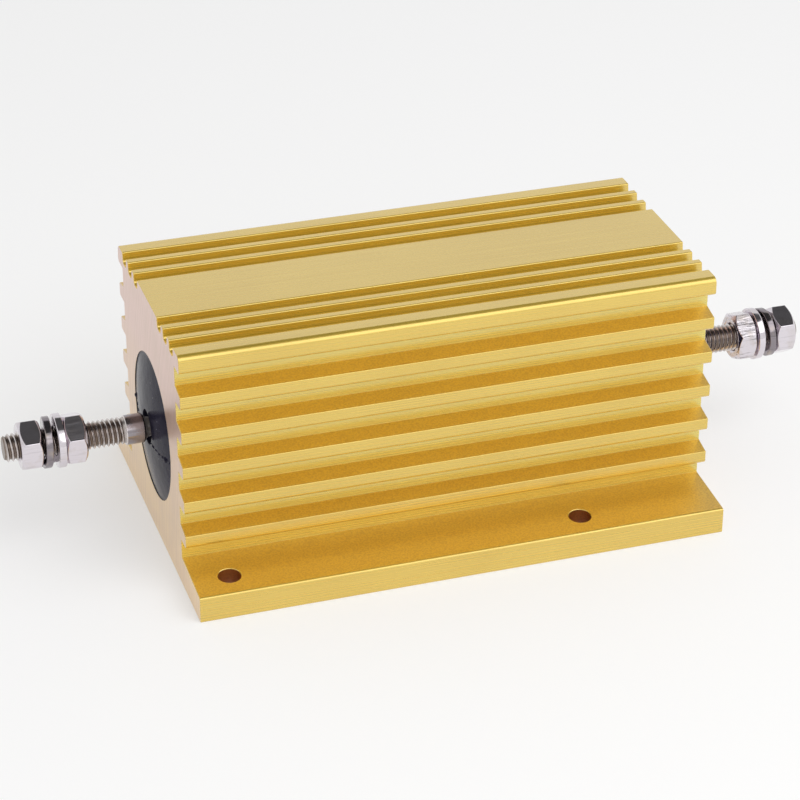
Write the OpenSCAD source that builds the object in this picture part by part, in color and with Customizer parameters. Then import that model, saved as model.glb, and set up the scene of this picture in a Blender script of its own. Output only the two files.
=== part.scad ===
// Aluminium housed wirewound power resistor with a screw terminal at each end.
// The housing lies along X and its mounting face is the plane z = 0.
// The origin is the middle of that face.

/* [Housing] */
// Length of the extruded housing
body_l = 114.3; // [95:0.1:140]
// Height of the housing over its mounting face
body_h = 55.25; // [50:0.05:66]
// Width over the side fins
fin_span = 53.3; // [50:0.1:58]
// Width between the floors of the side grooves
root_span = 45.4; // [42:0.1:48]
// Diameter of the bore that holds the resistance element
bore_d = 31.6; // [28:0.1:34]
// Height of the bore and terminal axis over the mounting face
axis_h = 25.5; // [23:0.1:28]

/* [Flanges] */
// Width over both mounting flanges
flange_w = 74.6; // [72:0.1:90]
// Thickness of a flange at its outer edge
flange_edge_t = 5.75; // [4:0.05:6.5]
// Thickness of a flange where it meets the body
flange_root_t = 6.75; // [6.5:0.05:8]
// Chamfer on the upper edge of a flange
flange_chamfer = 0.4; // [0.1:0.05:1]
// Diameter of the mounting holes
hole_d = 4.8; // [3.2:0.1:6]
// Distance between the mounting holes along a flange
hole_pitch = 76.2; // [50:0.1:80]
// Distance from a mounting hole's axis to the outer edge of its flange
hole_edge = 6; // [5:0.1:7]
// Distance of the first pair of holes from the left end
hole_inset = 7.75; // [5:0.05:10]

/* [Side fins] */
// Distance from one side fin to the next
fin_pitch = 8.05; // [7:0.05:10]
// Height of the outer face of a side fin
fin_face_h = 2.9; // [2:0.05:3.4]
// Height of a side fin at its root
fin_root_h = 3.8; // [3.5:0.05:4.5]
// Height of the outer face of the corner fin under the top
corner_fin_h = 3.95; // [3.2:0.05:5]
// Radius of the lower outer edge of every side fin
fin_edge_r = 0.8; // [0.2:0.05:1.2]
// Radius of the top edges of the housing
top_edge_r = 1.4; // [0.4:0.05:1.8]

/* [Top grooves] */
// Width of the plain strip along the middle of the top
top_flat_w = 17.2; // [12:0.1:22]
// Width of a top groove
groove_w = 3.4; // [2.4:0.05:3.8]
// Depth of a top groove
groove_depth = 2.45; // [1.5:0.05:3]
// Distance from one top groove to the next
groove_pitch = 5.1; // [4.6:0.05:6]
// Radius at the bottom corners of a top groove
groove_r = 0.9; // [0.3:0.05:1.1]

/* [Resistance element] */
// Distance from each end of the ceramic core to the end of the housing
core_inset = 11.15; // [10.5:0.05:20]
// Outer diameter of the ceramic core
core_d = 19; // [15:0.1:20]
// Diameter of the hole through the ceramic core
core_hole_d = 8; // [4:0.1:11]
// Diameter of the resistance wire
wire_d = 0.5; // [0.2:0.05:0.8]
// Wall of the end caps round the core
cap_wall = 1; // [0.9:0.05:1.5]
// Thickness of the closed end of an end cap
cap_floor_t = 1.2; // [0.8:0.05:2]
// Depth to which a cap covers the core
cap_cover = 8; // [5:0.1:12]

/* [Moulding] */
// How far the rim of the moulding lies inside the end of the housing
moulding_inset = 0.2; // [0:0.05:1]
// Rise of the moulding's domed face from its rim to its middle
dome_h = 0.7; // [0.2:0.05:1.5]
// Diameter of the recess round the terminal
recess_d = 7.4; // [6.8:0.1:9]
// Depth of the recess round the terminal
recess_depth = 2.2; // [1:0.05:3]

/* [Terminals] */
// Reach of a terminal beyond the end of the housing
stud_reach = 31.5; // [30:0.05:40]
// Thread size of the terminals
thread_d = 6; // [5:0.1:6]
// Diameter of the plain collar behind the thread
collar_d = 6.3; // [6.1:0.05:6.6]
// Length of the plain collar
collar_l = 4.6; // [3:0.1:6]
// Gap between the end of the housing and the collar
collar_gap = 1.5; // [1:0.05:2.5]
// Diameter of the neck between the collar and the end cap
neck_d = 4.2; // [3:0.1:5.5]
// Diameter of the foot that is welded to the end cap
foot_d = 11; // [8:0.1:14]
// Thickness of that foot
foot_t = 1.5; // [1:0.05:2.5]
// Chamfer on the tip of the thread
tip_chamfer = 0.7; // [0.2:0.05:1]

/* [Terminal hardware] */
// Width of the nuts across their flats
nut_af = 9.8; // [9:0.1:11]
// Height of the nuts
nut_h = 4.6; // [3:0.1:5.2]
// Outer diameter of the plain washers
washer_d = 11.4; // [10.5:0.1:13]
// Thickness of the plain washers
washer_t = 1.6; // [0.8:0.05:2]
// Outer diameter of the spring washers
spring_d = 10.8; // [10:0.1:12]
// Thickness of a spring washer's section
spring_t = 1.5; // [1:0.05:1.6]
// Height of a spring washer over its two ends
spring_h = 3; // [2.2:0.05:3.4]
// Angle left open between the ends of a spring washer
spring_gap_angle = 9; // [4:1:20]
// How far the left terminal's tip stands out of its outer nut
tip_proud_left = 3.15; // [0.8:0.05:4]
// How far the right terminal's tip stands out of its outer nut
tip_proud_right = 1.15; // [0.8:0.05:4]
// Angle of the left inner nut about the terminal axis
turn_inner_left = 9; // [-30:1:30]
// Angle of the left outer nut about the terminal axis
turn_outer_left = 1; // [-30:1:30]
// Angle of the right inner nut about the terminal axis
turn_inner_right = 9; // [-30:1:30]
// Angle of the right outer nut about the terminal axis
turn_outer_right = -5; // [-30:1:30]

/* [Clearances] */
// Radial gap between the moulding and what it fits
moulding_gap = 0.05; // [0.02:0.01:0.1]
// Radial gap between the end caps and the core
cap_gap = 0.03; // [0.01:0.01:0.1]
// Radial gap between the nuts and the thread
thread_gap = 0.05; // [0.02:0.01:0.1]
// Radial gap between the washers and the thread
washer_gap = 0.2; // [0.1:0.05:0.4]

/* [Hidden] */

gold = "goldenrod";
silicone_grey = "dimgray";
bright_nickel = "silver";
// Facets of a full circle, steps of a small rounding and steps of a spring washer
round_fn = 96;
arc_steps = 4;
spring_steps = 48;
// Length by which a cut runs past the face that it leaves
past = 1;
// A side groove and the lowest fin keep at least this height
least_groove_h = 3;
// The corner fin keeps at least this width at the top
least_corner_w = 3;
// Share of its flats that a nut's flat face covers, and the slope of its chamfer
nut_face_share = 0.95;
nut_chamfer_angle = 30;

body_end = body_l / 2;
fin_u = fin_span / 2;
root_u = root_span / 2;
flange_u = flange_w / 2;
side_fins = floor((body_h - corner_fin_h - flange_root_t - least_groove_h) / fin_pitch);
top_grooves = 1 + floor((fin_u - least_corner_w - groove_w - top_flat_w / 2) / groove_pitch);
hole_x = -body_end + hole_inset;
hole_y = flange_u - hole_edge;

core_end = body_end - core_inset;
cap_end = core_end + cap_floor_t;
cap_d = core_d + 2 * (cap_gap + cap_wall);
winding_d = core_d + 2 * wire_d;
winding_end = core_end - cap_cover;
moulding_r = bore_d / 2 - moulding_gap;
neck_hole_r = neck_d / 2 + moulding_gap;
nut_corner_d = nut_af / cos(30);
nut_face_r = nut_af * nut_face_share / 2;

// Places along a terminal, from the end of the housing outwards
collar_end = collar_gap + collar_l;
function outer_nut_at(proud) = stud_reach - proud - nut_h;
function spring_at(proud) = outer_nut_at(proud) - spring_h;
function washer_at(proud) = spring_at(proud) - washer_t;
function inner_nut_at(proud) = washer_at(proud) - nut_h;

// Points of an arc about [u, z], from one angle to another
function arc(u, z, r, from, to) = [
    for (i = [0:arc_steps])
        let (a = from + (to - from) * i / arc_steps)
        [u + r * cos(a), z + r * sin(a)]
];

// Underside of side fin k, counted down from the corner fin
function fin_under(k) = body_h - corner_fin_h - k * fin_pitch;

// One side fin: flat underside, rounded lower edge, upright face, sloping top
function side_fin(k) = let (z = fin_under(k)) concat(
    [[root_u, z]],
    arc(fin_u - fin_edge_r, z + fin_edge_r, fin_edge_r, -90, 0),
    [[fin_u, z + fin_face_h], [root_u, z + fin_root_h]]
);

// The corner fin ends in the rounded top edge
function corner_fin() = let (z = fin_under(0)) concat(
    [[root_u, z]],
    arc(fin_u - fin_edge_r, z + fin_edge_r, fin_edge_r, -90, 0),
    arc(fin_u - top_edge_r, body_h - top_edge_r, top_edge_r, 0, 90)
);

// Top groove j, counted outwards, drawn from its outer edge to its inner edge
function top_groove(j) = let (
    inner = top_flat_w / 2 + j * groove_pitch,
    outer = inner + groove_w,
    floor_z = body_h - groove_depth + groove_r
) concat(
    [[outer, body_h]],
    arc(outer - groove_r, floor_z, groove_r, 0, -90),
    arc(inner + groove_r, floor_z, groove_r, -90, -180),
    [[inner, body_h]]
);

// Right half of the housing's section, from the mounting face up to the top
half_section = concat(
    [
        [flange_u, 0],
        [flange_u, flange_edge_t - flange_chamfer],
        [flange_u - flange_chamfer, flange_edge_t],
        [root_u, flange_root_t]
    ],
    [for (k = [side_fins:-1:1]) each side_fin(k)],
    corner_fin(),
    [for (j = [top_grooves - 1:-1:0]) each top_groove(j)]
);
left_half = [for (i = [len(half_section) - 1:-1:0]) [-half_section[i][0], half_section[i][1]]];

// Cylinder along X between two places
module rod(from, to, d) {
    translate([from, 0, 0])
        rotate([0, 90, 0])
            cylinder(h = to - from, d = d, $fn = round_fn);
}

// Puts a piece that is drawn along +X from the end of the housing on its side
module at_terminal(side) {
    mirror([side < 0 ? 1 : 0, 0, 0])
        translate([body_end, 0, axis_h])
            children();
}

// Extruded section with the bore and the four mounting holes
module housing() {
    color(gold)
        difference() {
            translate([-body_end, 0, 0])
                rotate([90, 0, 90])
                    linear_extrude(height = body_l)
                        polygon(concat(half_section, left_half));
            translate([0, 0, axis_h])
                rod(-body_end - past, body_end + past, bore_d);
            for (x = [hole_x, hole_x + hole_pitch], y = [-hole_y, hole_y])
                translate([x, y, -past])
                    cylinder(h = flange_root_t + 2 * past, d = hole_d, $fn = round_fn);
        }
}

// Face of the moulding: a shallow dome that rises from the rim to the middle
function dome_x(r) = body_end - moulding_inset + dome_h * (1 - pow(r / moulding_r, 2));
dome_steps = 8;
dome_line = [
    for (i = [0:dome_steps])
        let (r = moulding_r * (1 - i / dome_steps))
        [r, dome_x(r)]
];

// Solid of revolution of the moulding before its element is taken out
module moulding_blank() {
    rotate([0, 90, 0])
        rotate_extrude($fn = round_fn)
            polygon(concat(
                dome_line,
                [for (i = [dome_steps:-1:0]) [dome_line[i][0], -dome_line[i][1]]]
            ));
}

// Silicone moulded round the element, with a recess round each terminal
module silicone_moulding() {
    color(silicone_grey)
        translate([0, 0, axis_h])
            difference() {
                moulding_blank();
                rod(-cap_end, cap_end, cap_d + 2 * moulding_gap);
                for (side = [-1, 1])
                    mirror([side < 0 ? 1 : 0, 0, 0]) {
                        rod(cap_end - past, cap_end + foot_t, foot_d + 2 * moulding_gap);
                        rod(cap_end, body_end, 2 * neck_hole_r);
                        rod(body_end - recess_depth, body_end + dome_h + past, recess_d);
                    }
            }
}

// Ceramic tube that carries the wire
module ceramic_core() {
    color("ivory")
        translate([0, 0, axis_h])
            difference() {
                rod(-core_end, core_end, core_d);
                rod(-core_end - past, core_end + past, core_hole_d);
            }
}

// Close single layer of resistance wire between the end caps
module resistance_winding() {
    color("darkgray")
        translate([0, 0, axis_h])
            difference() {
                rod(-winding_end, winding_end, winding_d);
                rod(-winding_end - past, winding_end + past, core_d + 2 * cap_gap);
            }
}

// Pressed cap on one end of the core
module end_cap(side) {
    color("lightgray")
        mirror([side < 0 ? 1 : 0, 0, 0])
            translate([0, 0, axis_h])
                difference() {
                    rod(winding_end, cap_end, cap_d);
                    rod(winding_end - past, core_end, core_d + 2 * cap_gap);
                }
}

module end_cap_left() {
    end_cap(-1);
}

module end_cap_right() {
    end_cap(1);
}

// Turned terminal: welded foot, neck, plain collar and threaded shank
module terminal_stud(side) {
    color(bright_nickel)
        at_terminal(side)
            union() {
                rod(cap_end - body_end, cap_end - body_end + foot_t, foot_d);
                rod(cap_end - body_end, collar_gap, neck_d);
                rod(collar_gap, collar_end, collar_d);
                rod(collar_end, stud_reach - tip_chamfer, thread_d);
                translate([stud_reach - tip_chamfer, 0, 0])
                    rotate([0, 90, 0])
                        cylinder(h = tip_chamfer, d1 = thread_d, d2 = thread_d - 2 * tip_chamfer, $fn = round_fn);
            }
}

module terminal_stud_left() {
    terminal_stud(-1);
}

module terminal_stud_right() {
    terminal_stud(1);
}

// Outline of a nut's half section, with both ends chamfered; it clears the corners
module nut_limits() {
    reach = nut_corner_d / 2 + past;
    chamfer_h = (reach - nut_face_r) * tan(nut_chamfer_angle);
    rotate_extrude($fn = round_fn)
        polygon([
            [0, 0], [nut_face_r, 0], [reach, chamfer_h],
            [reach, nut_h - chamfer_h], [nut_face_r, nut_h], [0, nut_h]
        ]);
}

// Hexagon nut with its near face at a place along the terminal
module hex_nut(side, at, turn) {
    color(bright_nickel)
        at_terminal(side)
            translate([at, 0, 0])
                rotate([0, 90, 0])
                    difference() {
                        intersection() {
                            rotate([0, 0, turn])
                                cylinder(h = nut_h, d = nut_corner_d, $fn = 6);
                            nut_limits();
                        }
                        translate([0, 0, -past])
                            cylinder(h = nut_h + 2 * past, d = thread_d + 2 * thread_gap, $fn = round_fn);
                    }
}

module inner_nut_left() {
    hex_nut(-1, inner_nut_at(tip_proud_left), turn_inner_left);
}

module inner_nut_right() {
    hex_nut(1, inner_nut_at(tip_proud_right), turn_inner_right);
}

module outer_nut_left() {
    hex_nut(-1, outer_nut_at(tip_proud_left), turn_outer_left);
}

module outer_nut_right() {
    hex_nut(1, outer_nut_at(tip_proud_right), turn_outer_right);
}

// Flat washer that lies on the inner nut
module plain_washer(side, at) {
    color(bright_nickel)
        at_terminal(side)
            difference() {
                rod(at, at + washer_t, washer_d);
                rod(at - past, at + washer_t + past, thread_d + 2 * washer_gap);
            }
}

module plain_washer_left() {
    plain_washer(-1, washer_at(tip_proud_left));
}

module plain_washer_right() {
    plain_washer(1, washer_at(tip_proud_right));
}

// Split spring washer: a flat section swept along one open turn of a helix
module spring_washer(side, at) {
    inner_r = thread_d / 2 + washer_gap;
    outer_r = spring_d / 2;
    span = 360 - spring_gap_angle;
    rise = spring_h - spring_t;
    section = [[inner_r, 0], [outer_r, 0], [outer_r, spring_t], [inner_r, spring_t]];
    points = [
        for (i = [0:spring_steps], p = section)
            let (a = 180 + spring_gap_angle / 2 + span * i / spring_steps)
            [at + p[1] + rise * i / spring_steps, -p[0] * sin(a), p[0] * cos(a)]
    ];
    sides = [
        for (i = [0:spring_steps - 1], k = [0:3])
            let (a = 4 * i, b = 4 * (i + 1), n = (k + 1) % 4)
            [a + k, b + k, b + n, a + n]
    ];
    last = 4 * spring_steps;
    color(bright_nickel)
        at_terminal(side)
            polyhedron(points, concat(sides, [[0, 1, 2, 3], [last + 3, last + 2, last + 1, last]]));
}

module spring_washer_left() {
    spring_washer(-1, spring_at(tip_proud_left));
}

module spring_washer_right() {
    spring_washer(1, spring_at(tip_proud_right));
}

housing();
silicone_moulding();
ceramic_core();
resistance_winding();
end_cap_left();
end_cap_right();
terminal_stud_left();
terminal_stud_right();
inner_nut_left();
inner_nut_right();
plain_washer_left();
plain_washer_right();
spring_washer_left();
spring_washer_right();
outer_nut_left();
outer_nut_right();
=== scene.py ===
import math

import bmesh
import bpy
from mathutils import Matrix, Vector
from mathutils.geometry import tessellate_polygon


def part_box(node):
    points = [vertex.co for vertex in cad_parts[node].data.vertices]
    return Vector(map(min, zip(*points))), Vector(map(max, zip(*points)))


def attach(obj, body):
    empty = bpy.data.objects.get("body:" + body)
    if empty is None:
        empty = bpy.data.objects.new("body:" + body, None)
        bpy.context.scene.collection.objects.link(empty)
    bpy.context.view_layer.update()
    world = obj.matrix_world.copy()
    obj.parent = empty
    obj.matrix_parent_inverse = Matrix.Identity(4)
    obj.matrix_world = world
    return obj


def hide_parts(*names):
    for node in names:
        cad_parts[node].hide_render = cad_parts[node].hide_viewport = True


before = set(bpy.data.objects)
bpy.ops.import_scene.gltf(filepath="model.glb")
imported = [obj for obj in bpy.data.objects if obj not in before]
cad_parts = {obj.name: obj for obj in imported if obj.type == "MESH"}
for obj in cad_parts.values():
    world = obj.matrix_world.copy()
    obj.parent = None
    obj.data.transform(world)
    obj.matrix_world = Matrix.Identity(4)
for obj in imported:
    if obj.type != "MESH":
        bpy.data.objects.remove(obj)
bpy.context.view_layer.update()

mm = 0.001

# the far corner of the extrusion, its end, and the terminals' axis
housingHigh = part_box("housing")[1]
bodyEnd = housingHigh.x
washerLow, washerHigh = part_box("plain_washer_left")
axisZ = (washerLow.z + washerHigh.z) / 2
sides = {"left": -1, "right": 1}


def hexColor(text):
    # sRGB hex to the linear colour that the shaders use
    channels = []
    for i in (1, 3, 5):
        value = int(text[i:i + 2], 16) / 255
        channels.append(value / 12.92 if value <= 0.04045 else ((value + 0.055) / 1.055) ** 2.4)
    return (*channels, 1.0)


def addNode(tree, kind, settings=None, links=None):
    # one node with its settings and what feeds it; a node as a link gives its first output
    node = tree.nodes.new("ShaderNode" + kind)
    for name, value in (settings or {}).items():
        if isinstance(name, int) or name in node.inputs:
            node.inputs[name].default_value = value
        else:
            setattr(node, name, value)
    for name, source in (links or {}).items():
        tree.links.new(source if isinstance(source, bpy.types.NodeSocket) else source.outputs[0], node.inputs[name])
    return node


def setRamp(node, stops):
    # places of a colour ramp with their hex colours
    ramp = node.color_ramp
    while len(ramp.elements) < len(stops):
        ramp.elements.new(0.5)
    for element, (place, color) in zip(ramp.elements, stops):
        element.position = place
        element.color = hexColor(color)
    return node


def startMaterial(name):
    material = bpy.data.materials.new(name)
    material.use_nodes = True
    tree = material.node_tree
    tree.nodes.clear()
    return material, tree, addNode(tree, "TexCoord").outputs["Object"]


def endMaterial(tree, shader):
    addNode(tree, "OutputMaterial", links={"Surface": shader})


def addLines(tree, place, widthMm, lengthMm, detail=3.0, roughness=0.5):
    # uneven lines that run along the part
    across, along = 1 / (widthMm * mm), 1 / (lengthMm * mm)
    stretched = addNode(tree, "VectorMath", {"operation": "MULTIPLY", 1: (along, across, across)}, {0: place})
    return addNode(tree, "TexNoise", {"Scale": 1.0, "Detail": detail, "Roughness": roughness}, {"Vector": stretched})


def addRadius(tree, place, y, z):
    # distance from a line along the part, at y and z
    moved = addNode(tree, "VectorMath", {"operation": "SUBTRACT", 1: (0, y, z)}, {0: place})
    flat = addNode(tree, "VectorMath", {"operation": "MULTIPLY", 1: (0, 1, 1)}, {0: moved})
    return addNode(tree, "VectorMath", {"operation": "LENGTH"}, {0: flat}).outputs["Value"]


def addSpecks(tree, place, look):
    # a mask of round specks, one to a cell, in the cells whose own value is above the least
    cells = addNode(tree, "TexVoronoi", {"Scale": 1 / (look["cellMm"] * mm)}, {"Vector": place})
    size = look["radiusMm"] / look["cellMm"]
    speck = addNode(tree, "MapRange", {"From Min": size, "From Max": size * look["core"]}, {"Value": cells})
    cellValue = addNode(tree, "SeparateColor", links={"Color": cells.outputs["Color"]})
    chosen = addNode(tree, "Math", {"operation": "GREATER_THAN", 1: look["least"]}, {0: cellValue})
    return addNode(tree, "Math", {"operation": "MULTIPLY"}, {0: speck, 1: chosen})


# Gold anodised aluminium, as extruded: a dyed oxide layer over bright metal. The dye scatters
# part of the light, so it stays gold where the metal mirrors the dark. The clear top of the
# layer adds a whiter sheen at low angles, and die lines run along the extrusion.
anodised = {
    "metallic": 0.62,
    "coatIor": 1.85,  # above that of the oxide, matched to the strength of the sheen
    "dieLineMm": 0.35,  # real die lines are about 0.05 mm, drawn coarser to show
    "dieLineLengthMm": 60,
    "etchGrainMm": 0.4,  # real caustic etch grain is about 0.1 mm, drawn coarser to show
    "shadeMm": 22,
    "reliefMm": 0.02,
    "grainBump": 0.4,
    "smoother": 0.04, "rougher": 0.06,  # how far the roughness strays along the die lines
    "pits": {"color": "#6E4A16", "cellMm": 9, "radiusMm": 0.16, "core": 0.4, "least": 0.5},
    "looks": {
        # fin faces and the top: smooth, with fine lines
        "extruded": {"gold": "#E0BF4A", "deepGold": "#D8B641", "roughness": 0.26, "coatRoughness": 0.17,
                     "lines": 0.35, "grainShare": 0.2},
        # shelves beside the fin roots: grainier, and a warmer, stronger gold that is painted light reflected onto them
        # from the fins
        "shelfPaintedLight": {"gold": "#F2C640", "deepGold": "#E0B136", "roughness": 0.42, "coatRoughness": 0.42,
                  "lines": 0.35, "grainShare": 1.0},
        # walls between the fins: paler, as painted light
        "wall": {"gold": "#E4D062", "deepGold": "#DEC857", "roughness": 0.26, "coatRoughness": 0.17,
                 "lines": 0.35, "grainShare": 0.2},
        # drilled holes: darker and browner, as painted shade inside the holes
        "drilledPaintedShade": {"gold": "#B8702F", "deepGold": "#9E5A24", "roughness": 0.36, "coatRoughness": 0.17,
                    "lines": 0.1, "grainShare": 0.2},
    },
}


def makeAnodised(name, look):
    material, tree, place = startMaterial(name)
    dieLines = addLines(tree, place, anodised["dieLineMm"], anodised["dieLineLengthMm"], roughness=0.6)
    grain = addNode(tree, "TexNoise", {"Scale": 1 / (anodised["etchGrainMm"] * mm), "Detail": 2.0}, {"Vector": place})
    shade = addNode(tree, "TexNoise", {"Scale": 1 / (anodised["shadeMm"] * mm), "Detail": 2.0}, {"Vector": place})
    drawn = addNode(tree, "Mix", {"data_type": "FLOAT", 0: 0.5}, {2: shade, 3: dieLines})
    uneven = addNode(tree, "Mix", {"data_type": "FLOAT", 0: look["grainShare"]}, {2: drawn, 3: grain})
    deepShare = addNode(tree, "MapRange", {"From Min": 0.4, "From Max": 0.63}, {"Value": uneven})
    color = addNode(tree, "Mix", {"data_type": "RGBA", 6: hexColor(look["gold"]), 7: hexColor(look["deepGold"])},
                    {0: deepShare})
    # a few etch pits
    pitted = addNode(tree, "Mix", {"data_type": "RGBA", 7: hexColor(anodised["pits"]["color"])},
                     {0: addSpecks(tree, place, anodised["pits"]), 6: color.outputs[2]})
    roughRange = addNode(tree, "MapRange",
                         {"From Min": 0.3, "From Max": 0.7, "To Min": look["roughness"] - anodised["smoother"],
                          "To Max": look["roughness"] + anodised["rougher"]},
                         {"Value": dieLines})
    relief = anodised["reliefMm"] * mm
    lineBump = addNode(tree, "Bump", {"Strength": look["lines"], "Distance": relief}, {"Height": dieLines})
    grainBump = addNode(tree, "Bump", {"Strength": anodised["grainBump"], "Distance": relief},
                        {"Height": grain, "Normal": lineBump})
    shader = addNode(tree, "BsdfPrincipled",
                     {"Metallic": anodised["metallic"], "Coat Weight": 1.0, "Coat Roughness": look["coatRoughness"],
                      "Coat IOR": anodised["coatIor"]},
                     {"Base Color": pitted.outputs[2], "Roughness": roughRange,
                      "Normal": grainBump, "Coat Normal": grainBump})
    endMaterial(tree, shader)
    return material


# The same layer on sawn ends: the blade's fine marks spread the light, so the end looks
# paler and more even than the sides. It is painted pinker towards the top and yellower below, a painted reflection of
# the room.
sawn = {
    "upper": "#E0B8A6", "lower": "#EFCB90",
    "lowerToMm": 12, "upperFromMm": 42,  # heights between which one tone turns into the other
    "mark": "#C9A486", "markShare": 0.6,
    "markMm": 0.7,  # real tooth marks are about 0.2 mm, drawn coarser to show
    "cloudMm": 9,
    "bladeRadiusMm": 160, "bladeBelowMm": 20,  # the marks' centre, far to one side of the ends
    "metallic": 0.7,
    "roughness": 0.42, "smoother": 0.05, "rougher": 0.08,
    "coatRoughness": 0.34,
    "bump": 0.3, "reliefMm": 0.02,
}


def makeSawn():
    material, tree, place = startMaterial("anodisedAluminiumSawn")
    radius = addRadius(tree, place, -sawn["bladeRadiusMm"] * mm, -sawn["bladeBelowMm"] * mm)
    scaled = addNode(tree, "Math", {"operation": "MULTIPLY", 1: 1 / (sawn["markMm"] * mm)}, {0: radius})
    marks = addNode(tree, "TexNoise", {"noise_dimensions": "1D", "Scale": 1.0, "Detail": 3.0}, {"W": scaled})
    cloud = addNode(tree, "TexNoise", {"Scale": 1 / (sawn["cloudMm"] * mm), "Detail": 3.0}, {"Vector": place})
    blend = addNode(tree, "Math", {"operation": "ADD"}, {0: marks, 1: cloud})
    blendRange = addNode(tree, "MapRange", {"From Min": 0.85, "From Max": 1.4, "To Max": sawn["markShare"]},
                         {"Value": blend})
    # painted reflection: one tone low on the end, the other high up
    height = addNode(tree, "MapRange", {"From Min": sawn["lowerToMm"] * mm, "From Max": sawn["upperFromMm"] * mm},
                     {"Value": addNode(tree, "SeparateXYZ", links={0: place}).outputs["Z"]})
    paintedReflectionTone = addNode(tree, "Mix", {"data_type": "RGBA", 6: hexColor(sawn["lower"]), 7: hexColor(sawn["upper"])},
                   {0: height})
    color = addNode(tree, "Mix", {"data_type": "RGBA", 7: hexColor(sawn["mark"])}, {0: blendRange, 6: paintedReflectionTone.outputs[2]})
    roughRange = addNode(tree, "MapRange",
                         {"To Min": sawn["roughness"] - sawn["smoother"],
                          "To Max": sawn["roughness"] + sawn["rougher"]},
                         {"Value": marks})
    bump = addNode(tree, "Bump", {"Strength": sawn["bump"], "Distance": sawn["reliefMm"] * mm}, {"Height": marks})
    shader = addNode(tree, "BsdfPrincipled",
                     {"Metallic": sawn["metallic"], "Coat Weight": 1.0, "Coat Roughness": sawn["coatRoughness"],
                      "Coat IOR": anodised["coatIor"]},
                     {"Base Color": color.outputs[2], "Roughness": roughRange, "Normal": bump})
    endMaterial(tree, shader)
    return material


gold = {name: makeAnodised(f"anodisedAluminium{name.capitalize()}", look)
        for name, look in anodised["looks"].items()}
gold["sawn"] = makeSawn()


# Silicone moulding: dark grey rubber with a soft gloss from the mould and a slightly
# uneven skin, with specks of dust on it.
silicone = {
    "color": "#211F2D", "light": "#2F2D3B",
    "sheen": "#D4D4FF",
    "roughness": 0.15, "smoother": 0.06, "rougher": 0.10,
    "ior": 1.11,  # below the 1.4 of silicone, matched to how little the face mirrors
    "waveMm": 5.0,
    "bump": 0.3, "reliefMm": 0.4,
    "dust": {"color": "#A8A6AC", "cellMm": 1.6, "radiusMm": 0.144, "core": 4 / 9, "least": 0.7},
}


def makeSilicone():
    material, tree, place = startMaterial("siliconeMoulded")
    wave = addNode(tree, "TexNoise", {"Scale": 1 / (silicone["waveMm"] * mm), "Detail": 4.0}, {"Vector": place})
    waveRange = addNode(tree, "MapRange", {"From Min": 0.35, "From Max": 0.7}, {"Value": wave})
    color = addNode(tree, "Mix", {"data_type": "RGBA", 6: hexColor(silicone["color"]), 7: hexColor(silicone["light"])},
                    {0: waveRange})
    dusty = addNode(tree, "Mix", {"data_type": "RGBA", 7: hexColor(silicone["dust"]["color"])},
                    {0: addSpecks(tree, place, silicone["dust"]), 6: color.outputs[2]})
    roughRange = addNode(tree, "MapRange",
                         {"To Min": silicone["roughness"] - silicone["smoother"],
                          "To Max": silicone["roughness"] + silicone["rougher"]},
                         {"Value": wave})
    bump = addNode(tree, "Bump", {"Strength": silicone["bump"], "Distance": silicone["reliefMm"] * mm},
                   {"Height": wave})
    shader = addNode(tree, "BsdfPrincipled", {"IOR": silicone["ior"], "Specular Tint": hexColor(silicone["sheen"])},
                     {"Base Color": dusty.outputs[2], "Roughness": roughRange, "Normal": bump})
    endMaterial(tree, shader)
    return material


siliconeGrey = makeSilicone()


# Bright nickel plate on steel: mirror-like and faintly lilac, with soft waves that bend what
# it reflects. Nuts cut from drawn bar keep lines along their flats.
nickel = {
    "stain": "#BDB0A2",
    "line": "#5E5854",  # the deepest drawing lines
    "roughness": 0.10, "smoother": 0.03, "rougher": 0.10,
    "waveMm": 2.5, "waveBump": 0.25, "waveReliefMm": 0.1,
    "barLineMm": 0.45,  # real drawing lines are about 0.05 mm, drawn coarser to show
    "barLineLengthMm": 9, "barReliefMm": 0.06,
    "looks": {
        "Bright": {"color": "#DFD9DF", "lineBump": 0.08, "lineShare": 0.1, "stainShare": 0.3},
        "OverDrawnBar": {"color": "#DFD9DF", "lineBump": 1.0, "lineShare": 0.8, "stainShare": 0.5},
        "SpringSteel": {"color": "#928B90", "lineBump": 0.25, "lineShare": 0.4, "stainShare": 0.7},
    },
}


def makeNickel(name, look):
    material, tree, place = startMaterial(name)
    lines = addLines(tree, place, nickel["barLineMm"], nickel["barLineLengthMm"], roughness=0.65)
    wave = addNode(tree, "TexNoise", {"Scale": 1 / (nickel["waveMm"] * mm), "Detail": 2.0}, {"Vector": place})
    stain = addNode(tree, "MapRange", {"From Min": 0.5, "From Max": 0.75, "To Max": look["stainShare"]},
                    {"Value": wave})
    color = addNode(tree, "Mix", {"data_type": "RGBA", 6: hexColor(look["color"]), 7: hexColor(nickel["stain"])},
                    {0: stain})
    deep = addNode(tree, "MapRange", {"From Min": 0.56, "From Max": 0.66, "To Max": look["lineShare"]},
                   {"Value": lines})
    lined = addNode(tree, "Mix", {"data_type": "RGBA", 7: hexColor(nickel["line"])}, {0: deep, 6: color.outputs[2]})
    roughRange = addNode(tree, "MapRange",
                         {"From Min": 0.35, "From Max": 0.7, "To Min": nickel["roughness"] - nickel["smoother"],
                          "To Max": nickel["roughness"] + nickel["rougher"]},
                         {"Value": lines})
    waveBump = addNode(tree, "Bump", {"Strength": nickel["waveBump"], "Distance": nickel["waveReliefMm"] * mm},
                       {"Height": wave})
    bump = addNode(tree, "Bump", {"Strength": look["lineBump"], "Distance": nickel["barReliefMm"] * mm},
                   {"Height": lines, "Normal": waveBump})
    shader = addNode(tree, "BsdfPrincipled", {"Metallic": 1.0},
                     {"Base Color": lined.outputs[2], "Roughness": roughRange, "Normal": bump})
    endMaterial(tree, shader)
    return material


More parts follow.
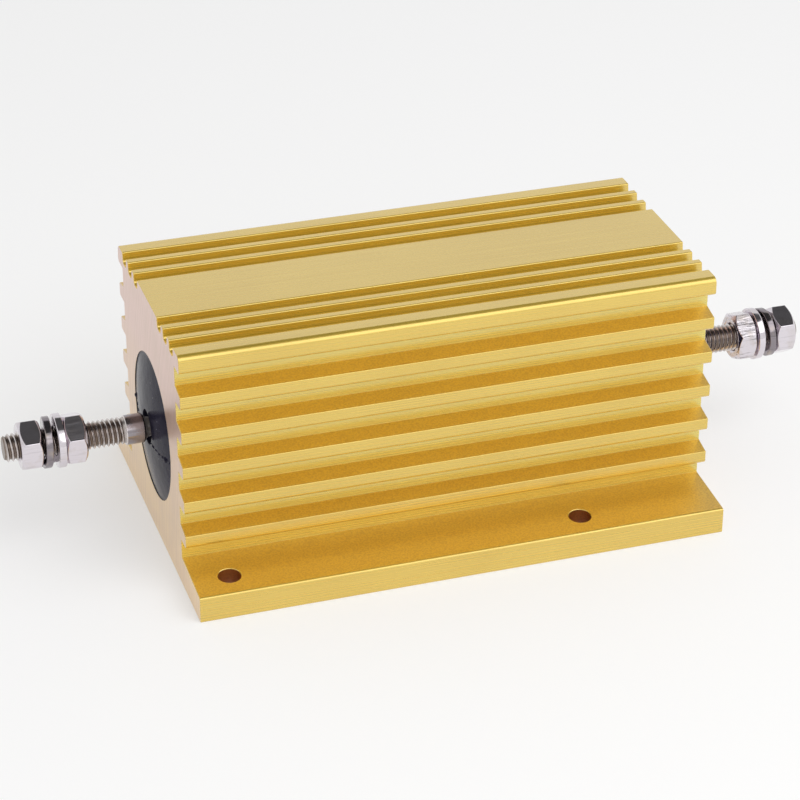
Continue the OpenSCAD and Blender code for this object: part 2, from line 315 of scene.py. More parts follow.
nickelPlate, nickelDrawn, springNickel = (makeNickel(f"nickelPlate{name}", look)
                                          for name, look in nickel["looks"].items())


# Rolled steel thread: bright crests, darker and browner towards the roots, which is painted
# shade in the thread's hollows. The plain collar by the housing is duller and greyer.
threadSteel = {
    "crest": "#E0DAD8", "root": "#85776D",
    "collar": "#9A9498",
    "crestRadiusMm": 2.95, "rootRadiusMm": 2.45,
    "collarEndMm": 5.9,  # from the housing's end
    "roughness": 0.20, "smoother": 0.06, "rougher": 0.12,
    "grainMm": 0.6, "grainShare": 0.5,
    "bump": 0.2, "reliefMm": 0.03,
}


def makeThreadSteel():
    material, tree, place = startMaterial("steelRolledThread")
    # colour by depth: the roots get painted shade
    depth = addNode(tree, "MapRange",
                    {"From Min": threadSteel["rootRadiusMm"] * mm, "From Max": threadSteel["crestRadiusMm"] * mm},
                    {"Value": addRadius(tree, place, 0, axisZ)})
    threadGrain = addNode(tree, "TexNoise", {"Scale": 1 / (threadSteel["grainMm"] * mm), "Detail": 3.0}, {"Vector": place})
    # the grain moves the edge of the painted shade up and down by the same amount
    share = threadSteel["grainShare"]
    grainShift = addNode(tree, "Math", {"operation": "MULTIPLY_ADD", 1: share, 2: -share / 2}, {0: threadGrain})
    height = addNode(tree, "Math", {"operation": "ADD", "use_clamp": True}, {0: depth, 1: grainShift})
    shadedThread = addNode(tree, "Mix",
                     {"data_type": "RGBA", 6: hexColor(threadSteel["root"]), 7: hexColor(threadSteel["crest"])},
                     {0: height})
    parts = addNode(tree, "SeparateXYZ", links={0: place})
    out = addNode(tree, "Math", {"operation": "ABSOLUTE"}, {0: parts.outputs["X"]})
    plain = addNode(tree, "Math", {"operation": "LESS_THAN", 1: bodyEnd + threadSteel["collarEndMm"] * mm}, {0: out})
    color = addNode(tree, "Mix", {"data_type": "RGBA", 7: hexColor(threadSteel["collar"])},
                    {0: plain, 6: shadedThread.outputs[2]})
    roughRange = addNode(tree, "MapRange",
                         {"To Min": threadSteel["roughness"] + threadSteel["rougher"],
                          "To Max": threadSteel["roughness"] - threadSteel["smoother"]},
                         {"Value": height})
    bump = addNode(tree, "Bump", {"Strength": threadSteel["bump"], "Distance": threadSteel["reliefMm"] * mm},
                   {"Height": threadGrain})
    shader = addNode(tree, "BsdfPrincipled", {"Metallic": 1.0},
                     {"Base Color": color.outputs[2], "Roughness": roughRange, "Normal": bump})
    endMaterial(tree, shader)
    return material


steelThread = makeThreadSteel()


def endPatterned(tree, pattern, look):
    # a surface whose colour and relief follow one pattern
    color = setRamp(addNode(tree, "ValToRGB", links={"Fac": pattern}), look["ramp"])
    bump = addNode(tree, "Bump", {"Strength": look["bump"], "Distance": look["reliefMm"] * mm}, {"Height": pattern})
    endMaterial(tree, addNode(tree, "BsdfPrincipled", look["surface"], {"Base Color": color, "Normal": bump}))


def makeGrained(name, look):
    material, tree, place = startMaterial(name)
    grain = addNode(tree, "TexNoise", {"Scale": 1 / (look["grainMm"] * mm), "Detail": look["detail"]},
                    {"Vector": place})
    endPatterned(tree, grain, look)
    return material


# The neck behind the collar, as steel with weld scale on it: grey, dull and a little rough.
weldFilm = {
    "grainMm": 0.8, "detail": 3.0, "ramp": [(0.35, "#7C736C"), (0.65, "#B0A8A6")],
    "bump": 0.4, "reliefMm": 0.05, "surface": {"Metallic": 0.4, "Roughness": 0.5},
}
weldScale = makeGrained("steelWeldScale", weldFilm)

# Unglazed steatite core: chalky off-white with a fine fired grain.
steatite = {
    "grainMm": 0.5, "detail": 4.0, "ramp": [(0.3, "#E2DCCC"), (0.7, "#EFEAE0")],
    "bump": 0.3, "reliefMm": 0.03, "surface": {"IOR": 1.6, "Roughness": 0.7},
}
steatiteWhite = makeGrained("steatiteUnglazed", steatite)


# Drawn resistance wire wound side by side: a satin grey alloy with one ridge for each turn.
winding = {
    "turnMm": 0.55,  # wire and the space to the next turn
    "ramp": [(0.1, "#4C4744"), (0.7, "#A09890")],
    "bump": 0.8, "reliefMm": 0.25, "surface": {"Metallic": 1.0, "Roughness": 0.35},
}


def makeWinding():
    material, tree, place = startMaterial("resistanceAlloyDrawn")
    # the wave node repeats 20 times in a length of tau, at a scale of 1
    turns = addNode(tree, "TexWave",
                    {"bands_direction": "X", "wave_profile": "SIN", "Scale": math.tau / (20 * winding["turnMm"] * mm)},
                    {"Vector": place})
    endPatterned(tree, turns.outputs["Fac"], winding)
    return material


# Pressed steel end caps: satin grey sheet with faint draw marks.
capSheet = {
    "markMm": 1 / 3,  # real draw marks are finer, drawn coarser to show
    "markLengthMm": 5,
    "ramp": [(0.3, "#A9A8A6"), (0.7, "#C6C5C3")],
    "bump": 0.2, "reliefMm": 0.02, "surface": {"Metallic": 1.0, "Roughness": 0.3},
}


def makeCapSteel():
    material, tree, place = startMaterial("steelPressedSheet")
    endPatterned(tree, addLines(tree, place, capSheet["markMm"], capSheet["markLengthMm"], 2.0), capSheet)
    return material


capSteel = makeCapSteel()
for node, material in (("ceramic_core", steatiteWhite), ("resistance_winding", makeWinding()),
                       ("end_cap_left", capSteel), ("end_cap_right", capSteel)):
    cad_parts[node].data.materials.clear()
    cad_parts[node].data.materials.append(material)
print("materials made")


def addObject(name, data):
    thing = bpy.data.objects.new(name, data)
    bpy.context.scene.collection.objects.link(thing)
    return thing


def makePiece(name, points, faces, materials, node, smoothAngle=30):
    # a mesh piece in place, which stands for its node
    mesh = bpy.data.meshes.new(name)
    mesh.from_pydata([tuple(point) for point in points], [], faces)
    work = bmesh.new()
    work.from_mesh(mesh)
    bmesh.ops.remove_doubles(work, verts=work.verts, dist=0.002 * mm)
    bmesh.ops.dissolve_degenerate(work, edges=work.edges, dist=0.001 * mm)
    bmesh.ops.recalc_face_normals(work, faces=work.faces)
    work.to_mesh(mesh)
    work.free()
    for material in materials:
        mesh.materials.append(material)
    mesh.shade_smooth()
    mesh.set_sharp_from_angle(angle=math.radians(smoothAngle))
    piece = addObject(name, mesh)
    if node:
        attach(piece, "root")
        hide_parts(node)
    return piece


def holdFlats(piece):
    # wide faces keep their flat shading beside small rounded edges
    modifier = piece.modifiers.new("flatFaces", "WEIGHTED_NORMAL")
    modifier.keep_sharp = True
    modifier.weight = 80


def joinRings(first, second, count):
    # faces between two closed rings of as many points
    faces = []
    for i in range(count):
        n = (i + 1) % count
        faces.append((first + i, first + n, second + n, second + i))
    return faces


# The housing's section in millimetres, from the middle of the mounting face.
housing = {
    "finSpan": 53.3, "rootSpan": 45.4, "boreD": 31.6, "boreSteps": 128,
    "flangeEdgeT": 5.75, "flangeRootT": 6.75, "flangeRound": 0.65,
    "finPitch": 8.05, "finFaceH": 2.9, "finRootH": 3.8, "cornerFinH": 3.95,
    "finRound": 0.8, "topRound": 1.4, "sideFins": 5,
    "topFlatW": 17.2, "grooveW": 3.4, "grooveDepth": 2.3, "groovePitch": 5.1,
    "grooveFloorW": 2.8, "grooveRound": 0.9, "grooves": 3,
    "sharpRound": 0.22, "grooveEdgeRound": 0.3, "innerRound": 0.06,
    "sawnEdge": 0.1, "boreEdge": 0.02,
    "holeD": 4.8, "holeEdge": 6.0, "holeInset": 7.75, "holePitch": 76.2,
    "holeDeburr": 0.1, "holeOver": 0.8, "holeSteps": 64,
    "stepDegrees": 12, "smoothDegrees": 24,
    # where each finish ends, and the copies with painted light and shade: heights, a distance, and the least that a
    # face looks along an axis
    "flangeBelow": 8, "shelfTop": 50, "wallWithin": 0.01, "facing": 0.9, "shelfFacing": 0.95,
}


def roundCorner(before, corner, after, radius):
    # points of the rounding at one corner of an outline
    toBefore, toAfter = before - corner, after - corner
    toBefore.normalize()
    toAfter.normalize()
    opening = toBefore.angle(toAfter)
    if opening > math.radians(179) or radius <= 0:
        return [corner]
    setBack = radius / math.tan(opening / 2)
    middle = corner + (toBefore + toAfter).normalized() * (radius / math.sin(opening / 2))
    start = corner + toBefore * setBack - middle
    turn = start.angle_signed(corner + toAfter * setBack - middle)
    steps = max(2, math.ceil(abs(turn) / math.radians(housing["stepDegrees"])))
    points = []
    for i in range(steps + 1):
        angle = -turn * i / steps
        points.append(middle + Vector((start.x * math.cos(angle) - start.y * math.sin(angle),
                                       start.x * math.sin(angle) + start.y * math.cos(angle))))
    return points


def housingCorners():
    # right half of the section, as corner, radius, from the mounting face to the top
    height = housingHigh.z / mm
    flangeU = housingHigh.y / mm
    finU, rootU = housing["finSpan"] / 2, housing["rootSpan"] / 2
    sharp, inner = housing["sharpRound"], housing["innerRound"]
    corners = [(flangeU, 0, sharp), (flangeU, housing["flangeEdgeT"], housing["flangeRound"]),
               (rootU, housing["flangeRootT"], inner)]
    for k in range(housing["sideFins"], 0, -1):
        under = height - housing["cornerFinH"] - k * housing["finPitch"]
        corners += [(rootU, under, inner), (finU, under, housing["finRound"]),
                    (finU, under + housing["finFaceH"], sharp), (rootU, under + housing["finRootH"], inner)]
    under = height - housing["cornerFinH"]
    corners += [(rootU, under, inner), (finU, under, housing["finRound"]), (finU, height, housing["topRound"])]
    floor, lean = height - housing["grooveDepth"], (housing["grooveW"] - housing["grooveFloorW"]) / 2
    for j in range(housing["grooves"] - 1, -1, -1):
        near = housing["topFlatW"] / 2 + j * housing["groovePitch"]
        far = near + housing["grooveW"]
        soft = housing["grooveEdgeRound"]
        corners += [(far, height, soft), (far - lean, floor, housing["grooveRound"]),
                    (near + lean, floor, housing["grooveRound"]), (near, height, soft)]
    return corners


def housingOutline():
    right = housingCorners()
    corners = right + [(-u, z, r) for u, z, r in reversed(right)]
    outline = []
    for i, (u, z, radius) in enumerate(corners):
        before, after = corners[i - 1], corners[(i + 1) % len(corners)]
        outline += roundCorner(Vector(before[:2]), Vector((u, z)), Vector(after[:2]), radius)
    return outline


def insetOutline(outline, amount):
    # every point moved into the metal, for the broken edge of a sawn end
    moved = []
    for i, point in enumerate(outline):
        before, after = outline[i - 1], outline[(i + 1) % len(outline)]
        edgeA, edgeB = (point - before).normalized(), (after - point).normalized()
        inward = Vector((-edgeA.y - edgeB.y, edgeA.x + edgeB.x)).normalized()
        share = max(0.5, inward.dot(Vector((-edgeA.y, edgeA.x))))
        moved.append(point + inward * (amount / share))
    return moved


def drill(piece, places, top, slope):
    # deburred holes through the flanges, cut one by one
    radius, edge, over, steps = housing["holeD"] / 2, housing["holeDeburr"], housing["holeOver"], housing["holeSteps"]
    rings = [(-edge, radius + 2 * edge), (edge, radius), (top - edge, radius), (top + over, radius + over + edge)]
    for number, (x, y) in enumerate(places):
        points, faces = [], []
        for level, (z, r) in enumerate(rings):
            for i in range(steps):
                angle = math.tau * i / steps
                v = y + r * math.sin(angle)
                lean = slope * (abs(v) - abs(y)) if level > 1 else 0
                points.append(((x + r * math.cos(angle)) * mm, v * mm, (z + lean) * mm))
        for level in range(len(rings) - 1):
            faces += joinRings(level * steps, (level + 1) * steps, steps)
        faces += [tuple(range(steps))[::-1], tuple(range((len(rings) - 1) * steps, len(rings) * steps))]
        cutter = makePiece(f"drill{number}", points, faces, [], None)
        modifier = piece.modifiers.new(cutter.name, "BOOLEAN")
        modifier.operation, modifier.solver, modifier.object = "DIFFERENCE", "EXACT", cutter
        bpy.context.view_layer.update()
        cut = bpy.data.meshes.new_from_object(piece.evaluated_get(bpy.context.evaluated_depsgraph_get()))
        piece.modifiers.clear()
        piece.data = cut
        bpy.data.objects.remove(cutter)


def finishAndPaintedLightOf(face, places):
    # the finish of one face of the housing, from its place and the way it looks; shelves, root walls and hole walls
    # take copies of the gold with painted light and shade
    middle, normal = face.center / mm, face.normal
    near = min(math.hypot(middle.x - x, middle.y - y) for x, y in places)
    if near < housing["holeD"] / 2 and middle.z < housing["flangeBelow"] and abs(normal.z) < housing["facing"]:
        return "drilledPaintedShade"
    if abs(normal.x) > housing["facing"]:
        return "sawn"
    if normal.z > housing["shelfFacing"] and middle.z < housing["shelfTop"]:
        return "shelfPaintedLight"
    fromRoot = abs(abs(middle.y) - housing["rootSpan"] / 2)
    if fromRoot < housing["wallWithin"] and middle.z < housing["shelfTop"]:
        return "wall"
    return "extruded"


def makeHousing():
    outline = housingOutline()
    end, edge, opened = bodyEnd / mm, housing["sawnEdge"], housing["boreEdge"]
    small = insetOutline(outline, edge)
    sections = [(-end, small, opened), (-end + edge, outline, 0), (end - edge, outline, 0), (end, small, opened)]
    count, boreSteps, last = len(outline), housing["boreSteps"], len(sections) - 1
    points, faces = [], []
    for x, loop, widened in sections:
        points += [Vector((x, u, z)) * mm for u, z in loop]
        radius = housing["boreD"] / 2 + widened
        points += [Vector((x, radius * math.cos(math.tau * i / boreSteps),
                           axisZ / mm + radius * math.sin(math.tau * i / boreSteps))) * mm for i in range(boreSteps)]
    ring = count + boreSteps
    for s in range(last):
        for start, length in ((0, count), (count, boreSteps)):
            faces += joinRings(s * ring + start, (s + 1) * ring + start, length)
    for s in (0, last):
        loops = [points[s * ring:s * ring + count], points[s * ring + count:(s + 1) * ring]]
        faces += [tuple(s * ring + k for k in triangle) for triangle in tessellate_polygon(loops)]
    finishesAndPaintedLight = ["extruded", "sawn", "drilledPaintedShade", "shelfPaintedLight", "wall"]
    piece = makePiece("housingExtrusion", points, faces, [gold[finish] for finish in finishesAndPaintedLight],
                      "housing")
    flangeU, hole = housingHigh.y / mm, housing["holeEdge"]
    slope = -(housing["flangeRootT"] - housing["flangeEdgeT"]) / (flangeU - housing["rootSpan"] / 2)
    first = -end + housing["holeInset"]
    places = [(x, y) for x in (first, first + housing["holePitch"]) for y in (hole - flangeU, flangeU - hole)]
    drill(piece, places, housing["flangeEdgeT"] - slope * hole, slope)
    for face in piece.data.polygons:
        face.material_index = finishesAndPaintedLight.index(finishAndPaintedLightOf(face, places))
    piece.data.shade_smooth()
    piece.data.set_sharp_from_angle(angle=math.radians(housing["smoothDegrees"]))
    holdFlats(piece)
    return piece


makeHousing()
print("housing made")


def atTerminal(side, x, y, z):
    # a point x mm out from the housing's end, with y and z in metres from the terminal axis
    return Vector((side * (bodyEnd + x * mm), y, axisZ + z))


def turned(profile, side, steps=96, closed=True):
    # points and faces of a profile turned about the terminal axis; x is in mm from the housing's end
    points, faces = [], []
    for x, r in profile:
        for i in range(steps):
            angle = math.tau * i / steps
            points.append(atTerminal(side, x, r * mm * math.sin(angle), r * mm * math.cos(angle)))
    rows = len(profile) if closed else len(profile) - 1
    for row in range(rows):
        faces += joinRings(row * steps, (row + 1) % len(profile) * steps, steps)
    return points, faces


def span(node, side):
    # place of a node along its terminal, in mm from the housing's end, near side first
    low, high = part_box(node)
    return sorted(((side * low.x - bodyEnd) / mm, (side * high.x - bodyEnd) / mm))


# Moulding: a shallow dome with a rolled rim, a well round the terminal and a flash line.
moulding = {
    "radius": 15.75, "inset": 0.2, "dome": 1.5, "domePower": 2, "lip": 0.18, "lipW": 0.25, "lipMiddle": 0.4,
    "domeRings": (15, 14.5, 14, 13.3, 12.5, 11.5, 10, 8, 6, 4.4), "steps": 128, "smoothDegrees": 40,
    "wellR": 3.7, "wellDepth": 2.2, "wellSoft": 0.1, "wellSoftFrom": 0.03, "wellSoftTo": 0.25, "neckR": 2.15,
    "flashBelowAxis": 2.35, "flashRise": 1.7, "flashW": 0.36, "flashH": 0.2, "flashReach": 15.0, "flashSteps": 36,
    "flashNear": 3, "flashGap": 0.15,  # where the line meets the well, and how far outside it starts
    "flashSink": 0.1, "flashShoulder": (0.7, 0.6),  # how far out and how high the line's shoulders are
    "flashFade": (0.55, 0.45, 3.1),  # height of the line: mean, swing and waves along it
    "flashWander": ((0.09, 2.1), (0.05, 5.3)),  # swings up and down, and their waves
    "nubs": (15.1, -12.6), "nubR": 0.75, "nubSink": 0.05, "nubH": 0.6, "nubLow": 0.8,
    "nubLobes": 3, "nubUneven": 0.22, "nubSteps": 12, "nubLevels": 4,
}


def domeX(r):
    return -moulding["inset"] + moulding["dome"] * (1 - (r / moulding["radius"]) ** moulding["domePower"])


def flashZ(y):
    # the line where the mould's halves met sags towards the middle
    return moulding["flashRise"] * (y / moulding["flashReach"]) ** 2 - moulding["flashBelowAxis"]


def addFlash(points, faces, side, across):
    # a thin raised line from the well to the rim
    inner = math.sqrt(moulding["wellR"] ** 2 - flashZ(moulding["flashNear"]) ** 2) + moulding["flashGap"]
    half, tall, sink = moulding["flashW"] / 2, moulding["flashH"], moulding["flashSink"]
    out, up = moulding["flashShoulder"]
    section = [(-half, -sink), (-half * out, tall * up), (0, tall), (half * out, tall * up), (half, -sink)]
    mean, swing, waves = moulding["flashFade"]
    (slow, slowWaves), (quick, quickWaves) = moulding["flashWander"]
    start, steps, size = len(points), moulding["flashSteps"], len(section)
    for i in range(steps + 1):
        y = inner + (moulding["flashReach"] - inner) * i / steps
        fade = mean + swing * math.sin(waves * y + across)
        wander = slow * math.sin(slowWaves * y + across) + quick * math.sin(quickWaves * y)
        for dz, lift in section:
            z = flashZ(y) + dz + wander
            x = domeX(math.hypot(y, z)) + lift * (fade if lift > 0 else 1)
            points.append(atTerminal(side, x, across * y * mm, z * mm))
    for i in range(steps):
        for k in range(size - 1):
            a, b = start + size * i + k, start + size * (i + 1) + k
            faces.append((a, a + 1, b + 1, b))
    faces.append(tuple(range(start, start + size)))
    faces.append(tuple(range(start + size * steps, start + size * steps + size)))


def addNub(points, faces, side, y):
    # a small torn nub near each end of that line
    z, start, around, levels = flashZ(y), len(points), moulding["nubSteps"], moulding["nubLevels"]
    for level in range(levels):
        tilt = math.pi / 2 * level / levels
        r, lift = moulding["nubR"] * math.cos(tilt), moulding["nubH"] * moulding["nubR"] * math.sin(tilt)
        for i in range(around):
            angle = math.tau * i / around
            bump = 1 + moulding["nubUneven"] * math.sin(moulding["nubLobes"] * angle + y)
            x = domeX(math.hypot(y, z)) - moulding["nubSink"] + lift
            points.append(atTerminal(side, x, (y + r * bump * math.cos(angle)) * mm,
                                     (z + moulding["nubLow"] * r * bump * math.sin(angle)) * mm))
    for level in range(levels - 1):
        faces += joinRings(start + level * around, start + (level + 1) * around, around)
    faces.append(tuple(range(start + (levels - 1) * around, start + levels * around)))
    faces.append(tuple(range(start, start + around)))


def makeMoulding():
    points, faces = [], []
    # the rim creeps up the bore as a thin lip
    radius, lip, lipW, part = (moulding[key] for key in ("radius", "lip", "lipW", "lipMiddle"))
    well, soft = moulding["wellR"], moulding["wellSoft"]
    depth = domeX(0) - moulding["wellDepth"]
    profile = [(-bodyEnd / mm, radius), (domeX(radius) + lip, radius),
               (domeX(radius) + part * lip, radius - part * lipW)]
    profile += [(domeX(r), r) for r in (radius - lipW, *moulding["domeRings"])]
    profile += [(domeX(well + 2 * soft) - moulding["wellSoftFrom"], well + soft),
                (domeX(well) - moulding["wellSoftTo"], well), (depth, well), (depth, moulding["neckR"])]
    for side in (-1, 1):
        start = len(points)
        some, parts = turned(profile, side, moulding["steps"], closed=False)
        points += some
        faces += [tuple(start + k for k in face) for face in parts]
        for across in (-1, 1):
            addFlash(points, faces, side, across)
        for y in moulding["nubs"]:
            addNub(points, faces, side, y)
    return makePiece("siliconeMoulding", points, faces, [siliconeGrey], "silicone_moulding",
                     moulding["smoothDegrees"])


makeMoulding()
print("moulding made")


# Terminals: welded foot, neck, plain collar and a rolled thread.
terminal = {
    "footR": 5.5, "footT": 1.5, "neckR": 2.1, "neckEnd": 1.3, "collarFrom": 2.0, "collarTo": 6.1, "collarR": 3.15,
    "edge": 0.15, "scaleTo": 1.9,  # where the weld scale ends
    "majorR": 3.0, "minorR": 2.39, "pitch": 1.0, "threadSoft": 0.04,
    "runOutR": 2.75, "runOut": 0.9, "tipR": 2.3, "tipChamfer": 0.7, "closedR": 0.01,
    "around": 48, "smoothDegrees": 32,
}


def addThread(points, faces, side, start, end):
    # one helical strip; each turn shares its edge with the next
    around, pitch = terminal["around"], terminal["pitch"]
    major, minor, soft = terminal["majorR"], terminal["minorR"], terminal["threadSoft"]
    # the crest takes an eighth of the pitch and the root a quarter, both slightly rounded
    shape = [(0, major - soft), (1 / 16, major), (1 / 8, major - soft),
             (7 / 16, minor + soft), (9 / 16, minor), (11 / 16, minor + soft)]
    size = len(shape)
    turns = math.ceil((end - start) / pitch) + 2
    first = len(points)
    rows = turns * around
    for i in range(-around, rows):
        angle = math.tau * i / around
        for share, r in shape:
            x = min(max(start + pitch * (i / around + share), start), end)
            rise = min(1.0, (x - start) / terminal["runOut"])
            r = terminal["runOutR"] + (r - terminal["runOutR"]) * rise
            r = min(r, terminal["tipR"] + (end - x) * (major - terminal["tipR"]) / terminal["tipChamfer"])
            points.append(atTerminal(side, x, r * mm * math.sin(angle), r * mm * math.cos(angle)))
    total = rows + around
    for i in range(total - 1):
        for j in range(size):
            if j < size - 1:
                a, b = size * i + j, size * i + j + 1
            elif i + around + 1 < total:
                a, b = size * i + j, size * (i + around)
            else:
                continue
            faces.append((first + a, first + b, first + b + size, first + a + size))


def makeTerminal(name, side):
    node = f"terminal_stud_{name}"
    start, end = span(node, side)
    edge, around, point = terminal["edge"], terminal["around"], terminal["closedR"]
    foot, footR, neckR = start + terminal["footT"], terminal["footR"], terminal["neckR"]
    collar, thread, collarR = terminal["collarFrom"], terminal["collarTo"], terminal["collarR"]
    profile = [(start, point), (start, footR - edge), (start + edge, footR),
               (foot - edge, footR), (foot, footR - edge), (foot, neckR), (terminal["neckEnd"], neckR),
               (collar, collarR - 2 * edge), (collar + 2 * edge, collarR),
               (thread - edge, collarR), (thread, collarR - edge), (thread, terminal["runOutR"])]
    points, faces = turned(profile, side, around, closed=False)
    addThread(points, faces, side, thread, end)
    tip, tipFaces = turned([(end, terminal["tipR"]), (end, point)], side, around, closed=False)
    offset = len(points)
    points += tip
    faces += [tuple(offset + k for k in face) for face in tipFaces]
    piece = makePiece(f"terminal{name.capitalize()}", points, faces, [steelThread, weldScale], node,
                      terminal["smoothDegrees"])
    for face in piece.data.polygons:
        face.material_index = 1 if abs(face.center.x) < bodyEnd + terminal["scaleTo"] * mm else 0
    return piece


for name, side in sides.items():
    makeTerminal(name, side)
print("terminals made")


# Hexagon nuts: chamfered at both ends, with a countersunk bore and slightly broken edges.
nut = {
    "flats": 9.8, "faceShare": 0.93, "chamferDegrees": 36, "boreR": 3.05, "sinkR": 3.45,
    "edge": 0.1, "edgeSteps": 2, "steps": 96, "smoothDegrees": 20,
    "turn": {"inner_left": 7.5, "outer_left": 1, "inner_right": 8, "outer_right": -5},
    "finish": {"inner_left": nickelPlate, "outer_left": nickelPlate,
               "inner_right": nickelDrawn, "outer_right": nickelPlate},
}


def makeNut(place, name, side):
    node = f"{place}_nut_{name}"
    start, end = span(node, side)
    key, steps = f"{place}_{name}", nut["steps"]
    half = nut["flats"] / 2
    faceR, slope = half * nut["faceShare"], math.tan(math.radians(nut["chamferDegrees"]))
    sink = nut["sinkR"] - nut["boreR"]
    columns = []
    for i in range(steps):
        angle = math.tau * i / steps
        wall = half / math.cos(angle % (math.pi / 3) - math.pi / 6)
        drop = (wall - faceR) * slope
        section = [(start + sink, nut["boreR"]), (start, nut["sinkR"]), (start, faceR), (start + drop, wall),
                   (end - drop, wall), (end, faceR), (end, nut["sinkR"]), (end - sink, nut["boreR"])]
        turn = angle + math.radians(nut["turn"][key])
        columns.append([atTerminal(side, x, r * mm * math.sin(turn), -r * mm * math.cos(turn)) for x, r in section])
    rows = list(zip(*columns))
    points = [point for row in rows for point in row]
    faces = []
    for k in range(len(rows)):
        faces += joinRings(k * steps, (k + 1) % len(rows) * steps, steps)
    piece = makePiece(f"{place}Nut{name.capitalize()}", points, faces, [nut["finish"][key]], node,
                      nut["smoothDegrees"])
    modifier = piece.modifiers.new("brokenEdges", "BEVEL")
    modifier.width, modifier.segments, modifier.limit_method = nut["edge"] * mm, nut["edgeSteps"], "ANGLE"
    modifier.angle_limit = math.radians(nut["smoothDegrees"])
    holdFlats(piece)
    return piece


for name, side in sides.items():
    for place in ("inner", "outer"):
        makeNut(place, name, side)
print("nuts made")


# Plain washers: stamped, so the rim is rounded where the punch went in.
washer = {"outerR": 5.7, "innerR": 3.2, "punchRound": 0.35, "punchSteps": 5, "edge": 0.1, "smoothDegrees": 35}


def makeWasher(name, side):
    node = f"plain_washer_{name}"
    start, end = span(node, side)
    soft, edge, outer, inner = washer["punchRound"], washer["edge"], washer["outerR"], washer["innerR"]
    profile = [(start, inner + edge), (start, outer - edge), (start + edge, outer)]
    for i in range(washer["punchSteps"] + 1):
        angle = math.radians(90 * i / washer["punchSteps"])
        profile.append((end - soft + soft * math.sin(angle), outer - soft + soft * math.cos(angle)))
    profile += [(end, inner + edge), (end - edge, inner), (start + edge, inner)]
    points, faces = turned(profile, side)
    return makePiece(f"plainWasher{name.capitalize()}", points, faces, [nickelPlate], node,
                     washer["smoothDegrees"])


# Spring washers: square wire coiled once and sheared, so its two ends stand apart.
spring = {"outerR": 5.4, "innerR": 3.2, "thick": 1.5, "gapDegrees": 9, "wireRound": 0.22, "steps": 90,
          "smoothDegrees": 35}


def makeSpring(name, side):
    node = f"spring_washer_{name}"
    start, end = span(node, side)
    steps, thick, gap = spring["steps"], spring["thick"], spring["gapDegrees"]
    inner, outer = spring["innerR"], spring["outerR"]
    corners = [Vector((0, inner)), Vector((0, outer)), Vector((thick, outer)), Vector((thick, inner))]
    section = []
    for i, corner in enumerate(corners):
        section += roundCorner(corners[i - 1], corner, corners[(i + 1) % len(corners)], spring["wireRound"])
    rise = (end - start) - thick
    points, faces = [], []
    for i in range(steps + 1):
        angle = math.radians(180 + gap / 2 + (360 - gap) * i / steps)
        for x, r in section:
            points.append(atTerminal(side, start + x + rise * i / steps, -r * mm * math.sin(angle),
                                     r * mm * math.cos(angle)))
    size = len(section)
    for i in range(steps):
        faces += joinRings(i * size, (i + 1) * size, size)
    faces += [tuple(range(size)), tuple(range(steps * size, (steps + 1) * size))]
    return makePiece(f"springWasher{name.capitalize()}", points, faces, [springNickel], node,
                     spring["smoothDegrees"])


for name, side in sides.items():
    makeWasher(name, side)
    makeSpring(name, side)
print("washers made")


# Camera, floor and light
view = {
    "place": (-0.162429, -0.492847, 0.312576),
    "azimuth": -17.931, "elevation": 29.251, "roll": 0.158, "lens": 124.72, "sensor": 36, "clipStart": 0.01,
}


def outward(azimuth, elevation):
    # direction away from the object, in degrees from its front and from level
    turn, lift = math.radians(azimuth), math.radians(elevation)
    return Vector((math.sin(turn) * math.cos(lift), -math.cos(turn) * math.cos(lift), math.sin(lift)))


def makeCamera():
    back, roll = outward(view["azimuth"], view["elevation"]), math.radians(view["roll"])
    level = Vector((0, 0, 1)).cross(back).normalized()
    upright = back.cross(level)
    right = level * math.cos(roll) + upright * math.sin(roll)
    up = back.cross(right)
    data = bpy.data.cameras.new("camera")
    data.lens, data.sensor_width, data.clip_start = view["lens"], view["sensor"], view["clipStart"]
    camera = addObject("camera", data)
    camera.matrix_world = Matrix.Translation(view["place"]) @ Matrix((right, up, back)).transposed().to_4x4()
    bpy.context.scene.camera = camera


light = {
    "ambient": 0.62,  # what the room gives to rough surfaces
    "surround": 0.85,  # walls as bright metal sees them
    "ceiling": 0.08,  # dark ceiling as bright metal sees it
    "ceilingDegrees": 38, "ceilingSoftDegrees": 6, "ceilingMiddle": (0, 0.233, 0.972),
}
lamps = {
    "softbox": {"size": (1.2, 0.6), "distance": 0.85, "azimuth": 36, "elevation": 42, "power": 2.2, "mirrored": True},
    # for rough surfaces only
    "highFill": {"size": (0.8, 0.8), "distance": 1.0, "azimuth": 22, "elevation": 50, "power": 3.3, "mirrored": False},
}


def addMirroredRays(tree, path):
    # 1 for rays seen in metal or through glass
    return addNode(tree, "Math", {"operation": "ADD", "use_clamp": True},
                   {0: path.outputs["Is Glossy Ray"], 1: path.outputs["Is Transmission Ray"]})


# Matt paper for the floor: even and pale, with a faint fibre.
paper = {
    "color": "#F8F8F8", "roughness": 0.9, "gloss": 0.1,
    "white": 0.4,  # share of plain white, as the camera and metal see it
    "fibreMm": 10 / 9,  # real fibres are finer, drawn coarser to show
    "bump": 0.05, "reliefMm": 0.1,
    "radius": 3.0, "around": 64,
}


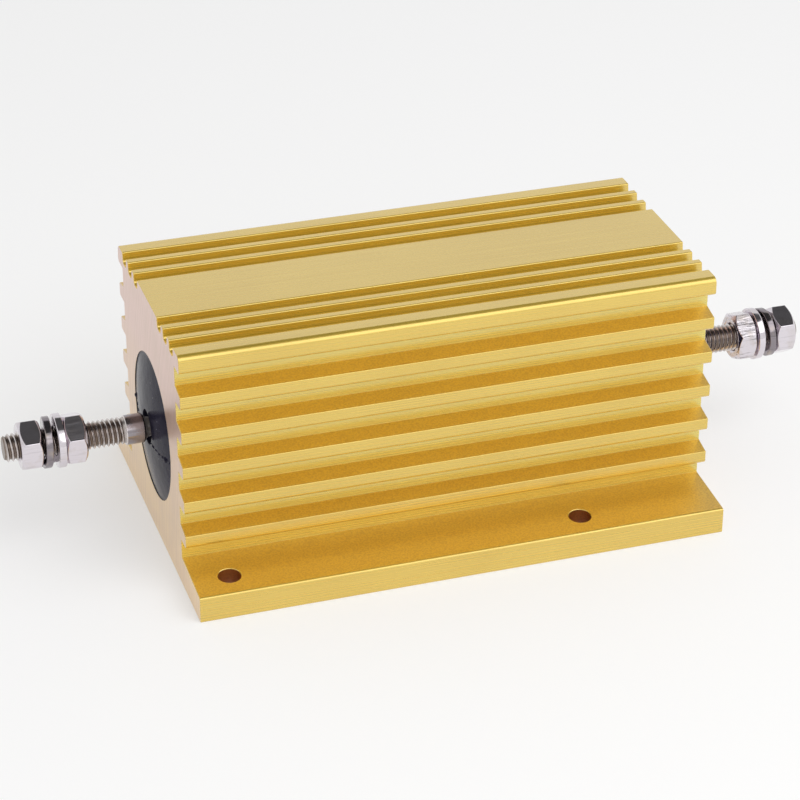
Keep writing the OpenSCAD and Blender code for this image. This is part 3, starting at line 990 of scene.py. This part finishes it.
def makeFloor():
    size, around = paper["radius"], paper["around"]
    mesh = bpy.data.meshes.new("floor")
    angles = [math.tau * i / around for i in range(around)]
    mesh.from_pydata([(size * math.cos(angle), size * math.sin(angle), 0) for angle in angles], [],
                     [tuple(range(around))])
    floor = addObject("floor", mesh)
    material, tree, place = startMaterial("paperBackground")
    fibre = addNode(tree, "TexNoise", {"Scale": 1 / (paper["fibreMm"] * mm), "Detail": 3.0}, {"Vector": place})
    bump = addNode(tree, "Bump", {"Strength": paper["bump"], "Distance": paper["reliefMm"] * mm}, {"Height": fibre})
    shader = addNode(tree, "BsdfPrincipled",
                     {"Base Color": hexColor(paper["color"]), "Roughness": paper["roughness"],
                      "Specular IOR Level": paper["gloss"]},
                     {"Normal": bump})
    # part of the paper shows plain white, and the rest takes the light and the shadow
    white = addNode(tree, "Emission", {"Color": (1, 1, 1, 1), "Strength": 1.0})
    path = addNode(tree, "LightPath")
    seen = addNode(tree, "Math", {"operation": "ADD", "use_clamp": True},
                   {0: path.outputs["Is Camera Ray"], 1: addMirroredRays(tree, path)})
    share = addNode(tree, "Math", {"operation": "MULTIPLY", 1: paper["white"]}, {0: seen})
    mixed = addNode(tree, "MixShader",
                    links={0: share, 1: shader, 2: white})
    addNode(tree, "OutputMaterial", links={"Surface": mixed})
    mesh.materials.append(material)


def makeWorld():
    world = bpy.data.worlds.new("studio")
    bpy.context.scene.world = world
    world.use_nodes = True
    tree = world.node_tree
    tree.nodes.clear()
    direction = addNode(tree, "TexCoord").outputs["Generated"]
    toward = addNode(tree, "VectorMath",
                     {"operation": "DOT_PRODUCT", 1: Vector(light["ceilingMiddle"]).normalized()}, {0: direction})
    edge = math.cos(math.radians(light["ceilingDegrees"]))
    inside = math.cos(math.radians(light["ceilingDegrees"] - light["ceilingSoftDegrees"]))
    ceiling = addNode(tree, "MapRange",
                      {"interpolation_type": "SMOOTHSTEP", "From Min": edge, "From Max": inside,
                       "To Min": light["surround"], "To Max": light["ceiling"]},
                      {"Value": toward.outputs["Value"]})
    # rays seen in metal and glass show the room, and the camera sees plain white
    path = addNode(tree, "LightPath")
    room = addNode(tree, "Mix", {"data_type": "FLOAT", 2: light["ambient"]},
                   {0: addMirroredRays(tree, path), 3: ceiling})
    seen = addNode(tree, "Mix", {"data_type": "FLOAT", 3: 1.0}, {0: path.outputs["Is Camera Ray"], 2: room})
    background = addNode(tree, "Background", {"Color": (1, 1, 1, 1)}, {"Strength": seen})
    addNode(tree, "OutputWorld", links={"Surface": background})


def makeLamp(name, size, distance, azimuth, elevation, power, mirrored):
    data = bpy.data.lights.new(name, "AREA")
    data.shape, data.size, data.size_y, data.energy = "RECTANGLE", *size, power
    lamp = addObject(name, data)
    away = outward(azimuth, elevation)
    lamp.matrix_world = Matrix.Translation(away * distance + Vector((0, 0, axisZ))) @ \
        away.to_track_quat("Z", "Y").to_matrix().to_4x4()
    lamp.visible_glossy = mirrored


makeCamera()
makeFloor()
makeWorld()
for name, lamp in lamps.items():
    makeLamp(name, **lamp)
bpy.context.scene.view_settings.view_transform = "Standard"
print("camera, floor and light made")
